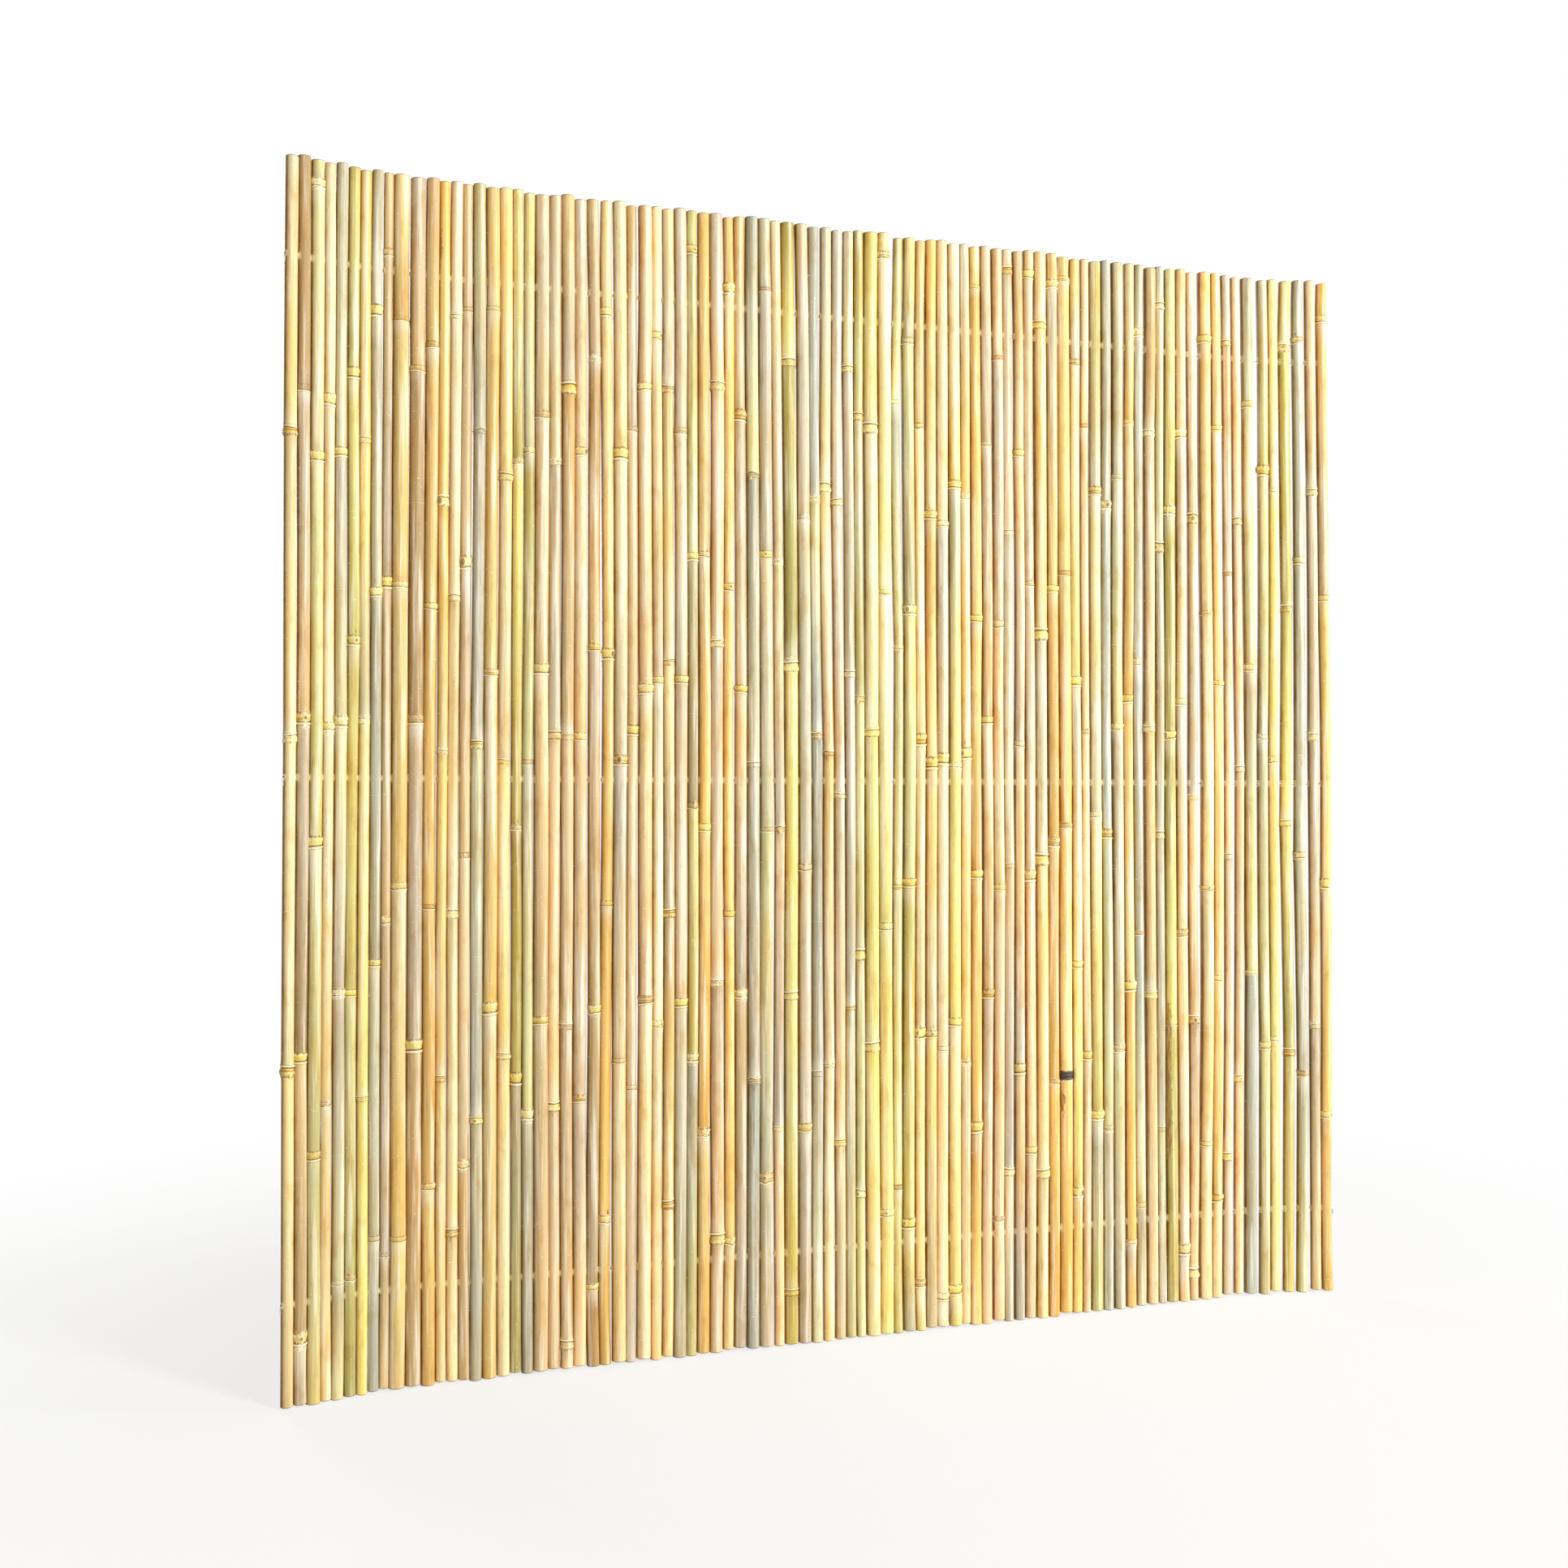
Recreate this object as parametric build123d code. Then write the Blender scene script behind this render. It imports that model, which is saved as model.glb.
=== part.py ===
from build123d import *
import math
import os
import random

# A rolled bamboo fence, stood up and unrolled. Whole bamboo poles stand side by side. Each pole is
# drilled through at three heights, and one galvanised wire runs through each row of holes.
# +X runs along the fence, the front looks to -Y, and +Z is up. The origin is at the bottom centre.
# All sizes are in millimetres, and angles are in degrees.

# The poles
pole_count = 88
fence_height = 1830.0
thinnest_pole = 13.5
usual_pole = 17.2
thickest_pole = 23.0
thicker_to_right = 1.1
thinner_at_head = 0.8
butt_down_share = 0.75
end_stagger = 6.0

# The nodes of the bamboo, where a pole swells under its sheath scar
shortest_internode = 385.0
longest_internode = 575.0
node_swell = 0.75
node_band = 9.0
node_to_cut_end = 25.0

# How far a pole strays from straight at its nodes and ends. It also follows the pole before it
following_share = 0.97
stray_sideways = 1.0
stray_forward = 0.9
crooked_stray = 3.5
crooked_share_at_left = 0.06
crooked_share_at_right = 0.3

# Free space at the tightest place between two neighbours: uneven, and wider towards the right end
tightest_gap = 0.25
usual_gap_at_right = 1.5
gap_growth = 3.0
most_uneven_share = 3.0

# The wires and the drilled holes that they run in
wire_diameter = 2.2
wire_clearance = 0.9
wire_from_end = 150.0
wire_tail = 12.0
tail_clearance = 0.3
wire_straightness = 0.45

# The curl that both ends keep from the roll, towards the front
left_curl_length = 250.0
left_curl_radius = 740.0
right_curl_length = 235.0
right_curl_radius = 880.0

# Like pieces are grouped, so that the fence stays a short list of parts
poles_per_group = 2
layout_seed = 5
gap_seed = 6

# Round sections are drawn six-sided, of the same area, by their distance from centre to flat
flat_share = math.sqrt(math.pi / (2 * math.sqrt(3)))

hole_size = wire_diameter + 2 * wire_clearance

# Where the fence curls, neighbours turn towards each other and their front edges need this room
curl_room = thickest_pole ** 2 / (4 * min(left_curl_radius, right_curl_radius))

wire_rows = {
    "bottom_wire": wire_from_end,
    "middle_wire": fence_height / 2,
    "top_wire": fence_height - wire_from_end,
}


class Ring:
    """One cross-section of a pole: its height, its radius and how far its centre strays."""

    def __init__(self, height, radius, sideways, forward):
        self.height = height
        self.radius = radius
        self.sideways = sideways
        self.forward = forward


def clear_of_holes(height):
    """The height itself, or just above a wire row if a node there would run into the drilled hole."""
    keep_off = hole_size + 2 * node_band
    for row in wire_rows.values():
        if abs(height + node_band / 2 - row) < keep_off:
            return row + keep_off
    return height


def node_heights(draw):
    """Heights of one pole's nodes, from the foot up."""
    heights = []
    height = draw.uniform(node_to_cut_end, longest_internode)
    while height < fence_height - node_to_cut_end - node_band - end_stagger:
        height = clear_of_holes(height)
        heights.append(height)
        height += draw.uniform(shortest_internode, longest_internode)
    return heights


def from_left_to_right(left_value, right_value, number):
    """A value that changes evenly along the fence, as it is at one pole."""
    return left_value + (right_value - left_value) * number / pole_count


def line_and_radius(rings, height):
    """How far a pole's centre strays sideways at a height, and its radius there."""
    below = rings[0]
    above = rings[-1]
    for lower, upper in zip(rings, rings[1:]):
        if lower.height <= height <= upper.height:
            below = lower
            above = upper
    share = (height - below.height) / (above.height - below.height)
    share = min(max(share, 0), 1)
    sideways = below.sideways + share * (above.sideways - below.sideways)
    return sideways, below.radius + share * (above.radius - below.radius)


def flank(rings, height, side):
    """How far a pole's left (-1) or right (1) flat stands from the pole's place at a height."""
    sideways, radius = line_and_radius(rings, height)
    return sideways + side * radius * flat_share


def pole_rings(number, rings_before):
    """The rings of one pole from foot to head: two at each node and one at each cut end."""
    draw = random.Random(layout_seed * 1000 + number)
    radius = draw.triangular(thinnest_pole, thickest_pole, usual_pole) / 2
    radius *= from_left_to_right(1, thicker_to_right, number)
    thinner_upwards = 1 if draw.random() < butt_down_share else -1
    crooked_share = from_left_to_right(crooked_share_at_left, crooked_share_at_right, number)
    stray = crooked_stray if draw.random() < crooked_share else stray_sideways

    def ring(height, swell, sideways, forward):
        along_pole = 0.5 - height / fence_height
        tapered = radius + thinner_upwards * along_pole * thinner_at_head / 2
        if rings_before:
            sideways += following_share * line_and_radius(rings_before, height)[0]
        return Ring(height, tapered + swell, sideways, forward)

    foot = draw.uniform(0, end_stagger)
    nodes = node_heights(draw)
    rings = [ring(foot, 0, draw.uniform(-stray, stray), 0)]
    for height in nodes:
        sideways = draw.uniform(-stray, stray)
        forward = draw.uniform(-stray_forward, stray_forward)
        rings.append(ring(height, node_swell, sideways, forward))
        rings.append(ring(height + node_band, 0, sideways, forward))
    head = fence_height - draw.uniform(0, end_stagger)
    rings.append(ring(head, 0, draw.uniform(-stray, stray), 0))
    return rings


def lay_poles():
    """Every pole as (place along the fence, rings). Each is laid against the one before it."""
    draw = random.Random(gap_seed)
    laid = [(0.0, pole_rings(0, []))]
    for number in range(1, pole_count):
        place_before, rings_before = laid[-1]
        rings = pole_rings(number, rings_before)
        heights = [ring.height for ring in rings + rings_before]
        touching = max(flank(rings_before, z, 1) - flank(rings, z, -1) for z in heights)
        usual_gap = usual_gap_at_right * (number / pole_count) ** gap_growth
        gap = tightest_gap + usual_gap * min(draw.expovariate(1), most_uneven_share)
        laid.append((place_before + touching + curl_room + gap, rings))
    return laid


def station(along, left_end, right_end):
    """The point and the heading of the fence's centre line at a distance along it."""
    curl_ends = left_end + left_curl_length
    curl_starts = right_end - right_curl_length
    if along < curl_ends:
        turn = (curl_ends - along) / left_curl_radius
        x = curl_ends - left_curl_radius * math.sin(turn)
        return x, -left_curl_radius * (1 - math.cos(turn)), turn
    if along > curl_starts:
        turn = (along - curl_starts) / right_curl_radius
        x = curl_starts + right_curl_radius * math.sin(turn)
        return x, -right_curl_radius * (1 - math.cos(turn)), -turn
    return along, 0.0, 0.0


def make_pole(rings, frame):
    """One pole: a loft through its rings, drilled through for each wire."""
    sections = []
    for ring in rings:
        place = frame * Pos(ring.sideways, ring.forward, ring.height)
        flats = RegularPolygon(ring.radius * flat_share, 6, major_radius=False, rotation=30)
        sections.append(place * flats)
    drilled = Box(4 * thickest_pole, hole_size, hole_size)
    holes = [frame * Pos(0, 0, row) * drilled for row in wire_rows.values()]
    return loft(sections, ruled=True) - holes


def wire_path(row, laid, left_end, right_end):
    """The centre line of one wire: a tail at each end, turned down outside the end poles."""
    off_flank = tail_clearance + wire_diameter / 2
    first_place, first_rings = laid[0]
    last_place, last_rings = laid[-1]
    first = first_place + flank(first_rings, row, -1) - off_flank
    last = last_place + flank(last_rings, row, 1) + off_flank

    def curl_stops(start, end, radius):
        longest_span = math.sqrt(8 * radius * wire_straightness)
        spans = math.ceil(abs(end - start) / longest_span)
        return [start + (end - start) * span / spans for span in range(spans + 1)]

    stops = curl_stops(first, left_end + left_curl_length, left_curl_radius)
    stops += curl_stops(right_end - right_curl_length, last, right_curl_radius)
    points = []
    for stop in stops:
        x, y, heading = station(stop, left_end, right_end)
        points.append(Vector(x, y, row))
    tail = Vector(0, 0, -wire_tail)
    return [points[0] + tail] + points + [points[-1] + tail]


def make_wire(points):
    """One galvanised wire, drawn six-sided and mitred where it turns."""
    line = Polyline(*points)
    start = Plane(origin=points[0], z_dir=points[1] - points[0])
    section = start * RegularPolygon(wire_diameter / 2 * flat_share, 6, major_radius=False)
    return sweep(section, path=line, transition=Transition.RIGHT)


laid = lay_poles()
left_end = laid[0][0] + min(flank(laid[0][1], ring.height, -1) for ring in laid[0][1])
right_end = laid[-1][0] + max(flank(laid[-1][1], ring.height, 1) for ring in laid[-1][1])

poles = []
for place, rings in laid:
    x, y, heading = station(place, left_end, right_end)
    frame = Pos(x, y, 0) * Rot(0, 0, math.degrees(heading))
    poles.append(make_pole(rings, frame))
wires = {name: make_wire(wire_path(row, laid, left_end, right_end)) for name, row in wire_rows.items()}

whole = Compound(poles + list(wires.values())).bounding_box()
to_origin = Pos(-whole.center().X, -whole.center().Y, -whole.min.Z)

os.makedirs("parts", exist_ok=True)
for first in range(0, pole_count, poles_per_group):
    group = poles[first:first + poles_per_group]
    name = f"poles_{first + 1:02d}_{first + len(group):02d}"
    export_step(Compound([to_origin * pole for pole in group]), f"parts/{name}.step")
for name, wire in wires.items():
    export_step(to_origin * wire, f"parts/{name}.step")
print(f"length {whole.size.X:.1f}, depth {whole.size.Y:.1f}, height {whole.size.Z:.1f} mm")
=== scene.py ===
# %% [markdown]
# # A rolled bamboo fence
# The real thing is a row of whole bamboo poles. Each pole is drilled through at three heights, and
# a galvanised wire through each row of holes strings them together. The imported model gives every
# pole's line, thickness and nodes. This script reads those and dresses them: round skins with
# sheath scars, buds and grooves, drilled holes, hollow cut ends and real wires.

import math
import random

import bmesh
import bpy
import numpy as np
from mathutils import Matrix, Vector


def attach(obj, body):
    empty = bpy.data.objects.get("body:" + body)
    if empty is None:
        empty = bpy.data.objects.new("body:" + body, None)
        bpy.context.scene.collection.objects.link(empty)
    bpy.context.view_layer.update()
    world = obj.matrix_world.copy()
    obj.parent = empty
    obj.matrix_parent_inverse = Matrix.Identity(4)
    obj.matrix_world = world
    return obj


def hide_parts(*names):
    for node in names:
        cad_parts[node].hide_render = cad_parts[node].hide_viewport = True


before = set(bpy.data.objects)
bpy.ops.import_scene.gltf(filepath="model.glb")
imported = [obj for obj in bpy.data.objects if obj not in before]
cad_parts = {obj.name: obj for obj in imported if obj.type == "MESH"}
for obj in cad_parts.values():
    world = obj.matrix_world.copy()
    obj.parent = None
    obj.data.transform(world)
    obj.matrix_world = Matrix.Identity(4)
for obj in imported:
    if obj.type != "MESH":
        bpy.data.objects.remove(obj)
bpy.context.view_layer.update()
MM = 0.001
BODY = "root"
POLE_NODES = sorted(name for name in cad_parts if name.startswith("poles_"))
WIRE_NODES = sorted(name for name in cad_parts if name.endswith("_wire"))

# %% [markdown]
# ## The camera
# The photograph looks at the fence from its left, at half its height, and shows its left edge a
# quarter taller than its right one. A camera 2.6 m before the fence and 1.05 m left of its middle,
# turned 19 degrees to the right, gives exactly that, so the lens needs no shift.

# %% The camera
CAMERA_PLACE = (-1.049, -2.601, 0.867)
CAMERA_TURN = 19.41
CAMERA_RISE = 0.88
LENS = 39.12
SENSOR = 36.0


def add_object(name, data):
    """A new object in the scene, from its mesh, curve, lamp or camera data."""
    made = bpy.data.objects.new(name, data)
    bpy.context.scene.collection.objects.link(made)
    return made


camera_data = bpy.data.cameras.new("camera")
camera_data.lens = LENS
camera_data.sensor_width = SENSOR
camera = add_object("camera", camera_data)
camera.location = CAMERA_PLACE
camera.rotation_euler = (math.radians(90 + CAMERA_RISE), 0, math.radians(-CAMERA_TURN))
bpy.context.scene.camera = camera
print("camera at", CAMERA_PLACE, "turned", CAMERA_TURN, "degrees to the right")

# %% [markdown]
# ## Shader maths as Python
# A material is a graph of nodes, and its sums are easier to read as sums. The class below wraps one
# output socket. An operator on it adds the Math node that does that sum, also with a number on the
# left, and `node` adds any other kind of node: its settings go in first, then its inputs. `over`
# lays one colour on another, and `wash` darkens one.


# %% A socket with operators
class Socket:
    """One output socket of a node tree, on which Python's operators add Math nodes."""

    def __init__(self, tree, output=None):
        self.tree = tree
        self.output = output

    def node(self, kind, settings=None, inputs=None, output=0):
        """Adds a node with its settings and inputs, and returns one of its outputs."""
        made = self.tree.nodes.new(kind)
        for name, value in (settings or {}).items():
            setattr(made, name, value)
        for name, value in (inputs or {}).items():
            if isinstance(value, Socket):
                self.tree.links.new(value.output, made.inputs[name])
            else:
                made.inputs[name].default_value = value
        return Socket(self.tree, made.outputs[output])

    def math(self, operation, *values):
        return self.node("ShaderNodeMath", {"operation": operation}, dict(enumerate(values)))

    def __add__(self, other):
        return self.math("ADD", self, other)

    def __sub__(self, other):
        return self.math("SUBTRACT", self, other)

    def __rsub__(self, other):
        return self.math("SUBTRACT", other, self)

    def __mul__(self, other):
        return self.math("MULTIPLY", self, other)

    def __abs__(self):
        return self.math("ABSOLUTE", self)

    __radd__ = __add__
    __rmul__ = __mul__

    def fade(self, low, high):
        """0 below low and 1 above high, with a soft step between. Low may be the larger one."""
        inputs = {"Value": self, "From Min": low, "From Max": high}
        return self.node("ShaderNodeMapRange", {"interpolation_type": "SMOOTHSTEP"}, inputs)

    def band(self, middle, half_width, edge):
        """1 within half_width of middle, and 0 from edge further out."""
        return abs(self - middle).fade(half_width + edge, half_width)

    def over(self, below, above, blend="MIX"):
        """Colour above laid on colour below, as strongly as this socket says."""
        # A Mix node for colours takes its factor at socket 0 and its colours at 6 and 7
        settings = {"data_type": "RGBA", "blend_type": blend}
        inputs = {0: self, 6: rgba(below), 7: rgba(above)}
        return self.node("ShaderNodeMix", settings, inputs, output=2)

    def wash(self, below, tone):
        """Colour below darkened by a tone, like a wash of thin paint."""
        return self.over(below, tone, "MULTIPLY")

    def times(self, vector):
        """This vector, multiplied part by part."""
        return self.node("ShaderNodeVectorMath", {"operation": "MULTIPLY"}, {0: self, 1: vector})

    def noise(self, scale, detail=2.0, roughness=0.5):
        """Noise in this space, which changes about `scale` times in a metre."""
        inputs = {"Vector": self, "Scale": scale, "Detail": detail, "Roughness": roughness}
        return self.node("ShaderNodeTexNoise", None, inputs)


def rgba(colour):
    return colour if isinstance(colour, Socket) else (*colour, 1.0)


def srgb(red, green, blue):
    """A colour as a paint chart gives it, 0 to 255, as the linear values that a shader takes."""
    return tuple(((part / 255 + 0.055) / 1.055) ** 2.4 for part in (red, green, blue))


def new_material(name):
    material = bpy.data.materials.new(name)
    material.use_nodes = True
    material.node_tree.nodes.clear()
    return material, Socket(material.node_tree)


def finish_material(start, shader):
    surface = start.tree.nodes.new("ShaderNodeOutputMaterial")
    start.tree.links.new(shader.output, surface.inputs["Surface"])


print("a paint chart's mid grey is", round(srgb(128, 128, 128)[0], 3), "in a shader")

# %% [markdown]
# ## The bamboo's tints
# No two poles in the fence have the same colour. They were cut at different ages and dried in the
# sun for different times: cream and straw are the most common, with gold, peach, olive, pale green
# and lilac grey between them. A short palette and one letter for each pole keep the fence's rhythm.

# %% The palette
TINTS = {
    "c": srgb(250, 233, 188),
    "s": srgb(244, 221, 166),
    "g": srgb(240, 208, 130),
    "m": srgb(230, 187, 106),
    "y": srgb(241, 227, 140),
    "p": srgb(242, 211, 166),
    "t": srgb(222, 191, 136),
    "o": srgb(194, 183, 104),
    "e": srgb(226, 219, 160),
    "r": srgb(203, 196, 164),
    "l": srgb(212, 197, 174),
    "b": srgb(188, 158, 108),
    "k": srgb(184, 183, 164),
}
POLE_TINTS = (
    "sbecroyktgbmgctkgsoetp"
    "tpbgstpcslompgtkrpolkc"
    "preyyeosgcysgtpltpsmgy"
    "pekrgktkoptsglpkeyoktm"
)
RELATED = {"c": "sp", "s": "cg", "g": "ms", "m": "gt", "y": "cg", "p": "sl", "t": "pl", "o": "ey",
           "e": "or", "r": "el", "l": "rp", "b": "tl", "k": "re"}
print(len(TINTS), "tints over", len(POLE_TINTS), "poles")

# %% [markdown]
# ## The bamboo's skin
# Bamboo has a hard, satin skin. Under it run straight fibres, so all colour is drawn out along the
# pole: the noise is sampled in a space that is squeezed along Z. Some marks belong to places on the
# pole, and the mesh carries those as numbers: how near the next node is, and whether above or below
# it, where the saw has cut, where the drill went in, and where a bud or a groove is. `fade` makes
# patches or lines of a noise.

# %% What the mesh tells the material
MARKS = ("near", "above", "cut", "rim", "drill", "bud", "groove", "flank", "wax", "gold", "pale",
         "brown", "stain", "mould")
NODE_REACH = 60.0
bamboo, start = new_material("bamboo_skin")


def mark(name):
    """One of the mesh's own numbers, as a socket."""
    return start.node("ShaderNodeAttribute", {"attribute_name": name}, output="Fac")


(near, above, cut, rim, drill, bud, groove, flank, wax, gold, pale,
 brown, stain, mould) = map(mark, MARKS)
tint = start.node("ShaderNodeAttribute", {"attribute_name": "tint"}, output="Color")
place = start.node("ShaderNodeTexCoord", output="Object")
side = above.fade(0.45, 0.55) * 2 - 1
from_scar = (1 - near) * NODE_REACH * side
print("marks on the mesh:", ", ".join(MARKS))

# %% Fibres, strands and clouds
along = place.times((1, 1, 0.02))
fibre = along.noise(1300, 3, 0.6)
strand = along.noise(420, 2)
streak_and_sheen_noise = place.times((1, 1, 0.035)).noise(130, 2, 0.6)
cloud = place.times((1, 1, 0.22)).noise(22, 2)
veil = place.times((1, 1, 0.4)).noise(55, 2, 0.6)
mottle = place.times((1, 1, 0.45)).noise(420, 4, 0.65)

skin = (cloud.fade(0.46, 0.66) * 0.65).wash(tint, (1.0, 0.84, 0.55))
skin = (cloud.fade(0.5, 0.32) * 0.6).wash(skin, (0.88, 0.94, 0.93))
skin = (veil.fade(0.52, 0.7) * 0.7).wash(skin, (0.86, 0.76, 0.58))
# Broad streaks along the pole: the dark ones are the skin's own tone, and the pale ones are painted
# sheen
skin = (streak_and_sheen_noise.fade(0.5, 0.68) * 0.4).wash(skin, (0.84, 0.76, 0.58))
skin = (streak_and_sheen_noise.fade(0.48, 0.34) * 0.4).over(skin, (1, 0.97, 0.86))
skin = (fibre.fade(0.5, 0.72) * 0.34).wash(skin, (0.8, 0.72, 0.56))
skin = (strand.fade(0.52, 0.7) * 0.3).wash(skin, (0.86, 0.8, 0.66))
skin = (strand.fade(0.45, 0.3) * 0.22).over(skin, (1, 0.98, 0.9))
skin = (mottle.fade(0.58, 0.75) * 0.25).wash(skin, (0.82, 0.74, 0.6))
# Painted shade on the flanks that face a neighbour, darkest in the crevices between the poles
painted_flank_shade = flank.fade(0.45, 0.98) * (0.3 + veil * 0.7)
painted_crevice_shade = flank.fade(0.8, 0.985) * (0.55 + veil * 0.8)
skin = painted_flank_shade.wash(skin, (0.8, 0.68, 0.44))
skin = painted_crevice_shade.wash(skin, (0.42, 0.28, 0.08))
print("skin: tint, clouds, fibres, strands and mottling, darker where poles rub each other")

# %% [markdown]
# ### The node
# A node is where a leaf sheath sat. Seen from the butt it begins with the sheath scar, a thin pale
# lip with a dark line in its shadow. Above that is a yellow band, up to the ridge, and then the
# next internode starts, often with a smudge of grey. A white bloom of wax is left under the scar.

# %% The node's rings of colour
# A band is given by its middle over the scar, its half width and its soft edge, all in millimetres
ragged = from_scar + (place.times((1, 1, 0.4)).noise(260, 2) - 0.5) * 5
lip = from_scar.band(-0.3, 0.75, 0.6)
# Painted light: a highlight on the ridge, and shade in the throat over the lip, under the lip and
# over the ridge
painted_ridge_highlight = ragged.band(9.6, 0.9, 1.6) * gold * strand.fade(0.62, 0.4)
shadow_line = from_scar.band(1.7, 0.5, 0.8) * mottle.fade(0.25, 0.45)
painted_shadow_under_lip = from_scar.band(-1.9, 0.2, 0.7) * strand.fade(0.3, 0.6)
painted_shade_over_ridge = ragged.band(12.4, 0.5, 1.1) * strand.fade(0.3, 0.55)
collar = ragged.band(6.4, 4.6, 2.2)
yellow_band = collar * gold * mottle.fade(0.25, 0.6)
halo = gold * ragged.fade(-22, -2) * ragged.fade(38, 12)
flaking = pale * ragged.band(4, 8, 4) * streak_and_sheen_noise.fade(0.42, 0.52)
flaking = flaking * place.times((1, 1, 1.6)).noise(330, 2, 0.7).fade(0.48, 0.56)
brown_rings = brown * (from_scar.band(5.2, 0.6, 1) + from_scar.band(10.2, 0.8, 1.4))
crack = groove.fade(0.12, 0.4) * ragged.fade(8, 11) * ragged.fade(30, 18)
crack = crack * place.times((1, 1, 0.16)).noise(620, 2).fade(0.6, 0.66)
flecks = ragged.band(6.4, 5.5, 2.2) * place.noise(900, 2, 0.7).fade(0.58, 0.66)
smudge = ragged.fade(11, 15) * ragged.fade(40, 16) * cloud.fade(0.4, 0.6)
bloom = ragged.fade(-1, -4) * ragged.fade(-42, -6) * wax

skin = (smudge * 0.4).wash(skin, (0.74, 0.72, 0.7))
skin = (bloom * 0.45).over(skin, srgb(232, 226, 208))
skin = (halo * 0.4).wash(skin, (1, 0.94, 0.6))
skin = (yellow_band * 0.95).over(skin, srgb(250, 222, 98))
skin = (collar * brown * 0.4).wash(skin, (0.86, 0.68, 0.42))
# The dark lines by the lip and over the ridge are painted shade, and the pale one on the ridge is a
# painted highlight
for amount, colour in (
    (brown_rings * 0.75, srgb(158, 112, 46)),
    (flecks * 0.75, srgb(150, 108, 44)),
    (painted_shade_over_ridge * 0.8, srgb(128, 88, 36)),
    (painted_shadow_under_lip * 0.6, srgb(140, 102, 52)),
    (shadow_line * 0.85, srgb(96, 64, 24)),
    (lip * 0.85, srgb(252, 243, 206)),
    (painted_ridge_highlight * 0.7, srgb(255, 246, 190)),
    (flaking * 0.85, srgb(250, 244, 220)),
    (crack * 0.85, srgb(84, 56, 24)),
):
    skin = amount.over(skin, colour)
skin = (groove * 0.3).wash(skin, (0.86, 0.8, 0.64))
print("node: lip, shadow lines, yellow, brown or flaking collar, cracks, smudge and bloom")

# %% [markdown]
# ### Handling, drilling and sawing
# Knocks leave short pale nicks across the fibre. Damp leaves dark specks and one node black with
# mould, and a few poles keep brown strips of old sheath. The drill tears the skin's fibres into a
# pale ring, and the saw leaves raw wood: pale, with the dark dots of the fibre bundles.

# %% Nicks, specks, buds, holes and cuts
nick = place.times((1, 1, 4.5)).noise(125, 1).fade(0.765, 0.78)
speck = place.noise(480, 1).fade(0.785, 0.8)
streak = along.noise(760, 1).fade(0.72, 0.78) * veil.fade(0.5, 0.66)
bundles = place.times((1, 1, 0.05)).noise(1900, 1).fade(0.55, 0.68)
sheath = (stain + (place.times((1, 1, 0.3)).noise(300, 2, 0.7) - 0.5) * 1.6).fade(0.5, 0.62)
sheath_fibre = place.times((1, 1, 0.03)).noise(1500, 1)
mould_cover = (mould + (mottle - 0.5) * 1.4).fade(0.42, 0.62)

raw_wood = (bundles * 0.55).over(srgb(238, 218, 168), srgb(170, 128, 72))
for amount, colour in (
    (streak * 0.55, srgb(126, 88, 40)),
    (sheath * 0.8, srgb(196, 156, 84)),
    (sheath * sheath_fibre.fade(0.46, 0.6) * 0.85, srgb(112, 78, 34)),
    (mould_cover * 0.95, srgb(42, 32, 40)),
    (nick * 0.75, srgb(252, 246, 222)),
    (speck * 0.7, srgb(92, 70, 44)),
    (bud * 0.75, srgb(238, 220, 160)),
    (bud.fade(0.86, 0.97) * 0.8, srgb(126, 84, 40)),
    # Dark in the bores, as painted shade in the holes, and as a thin line round the sawn edges
    (rim * 0.8, srgb(108, 84, 66)),
    (drill * 0.8, srgb(246, 230, 184)),
    (cut, raw_wood),
):
    skin = amount.over(skin, colour)
print("wear: streaks, nicks, specks, buds, torn rings at the holes, raw wood at the cuts")

# %% Relief and gloss
relief = fibre * 0.35 + strand * 0.4 + mottle * 0.25 - nick * 0.6 - speck * 0.5
relief = relief - bundles * cut * 0.8 - shadow_line * 0.8 - painted_shade_over_ridge * 0.4 - flecks * 0.5
relief = relief - crack + sheath * sheath_fibre * 1.5
bump = start.node("ShaderNodeBump", None, {"Strength": 0.35, "Distance": 0.0004, "Height": relief})
dullness = 0.28 + wax * 0.16 + fibre * 0.1 + mottle * 0.1 + nick * 0.2 + cut * 0.35
dullness = dullness + bloom * 0.15 + sheath * 0.25
shader = start.node("ShaderNodeBsdfPrincipled", None, {
    "Base Color": skin,
    "Roughness": dullness,
    "Normal": bump,
    "Specular IOR Level": 0.38,
})
finish_material(start, shader)
print("bamboo:", len(bamboo.node_tree.nodes), "nodes")

# %% [markdown]
# ## The wire's zinc
# The wire is galvanised steel. Hot zinc freezes in patches, so it is bright in some places and dull
# and a little whiter in others, and drawing marks run along it.

# %% The wire
zinc, zinc_start = new_material("galvanised_wire")
zinc_place = zinc_start.node("ShaderNodeTexCoord", output="Object")
spangle = zinc_place.noise(700, 2)
drawn = zinc_place.times((0.03, 1, 1)).noise(4000, 2)
zinc_colour = spangle.fade(0.35, 0.7).over(srgb(176, 180, 184), srgb(214, 216, 218))
drawing_marks = {"Strength": 0.25, "Distance": 0.0001, "Height": drawn}
zinc_bump = zinc_start.node("ShaderNodeBump", None, drawing_marks)
zinc_shader = zinc_start.node("ShaderNodeBsdfPrincipled", None, {
    "Base Color": zinc_colour,
    "Metallic": 1.0,
    "Roughness": 0.28 + spangle * 0.25,
    "Normal": zinc_bump,
})
finish_material(zinc_start, zinc_shader)
print("wire:", len(zinc.node_tree.nodes), "nodes")

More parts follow.
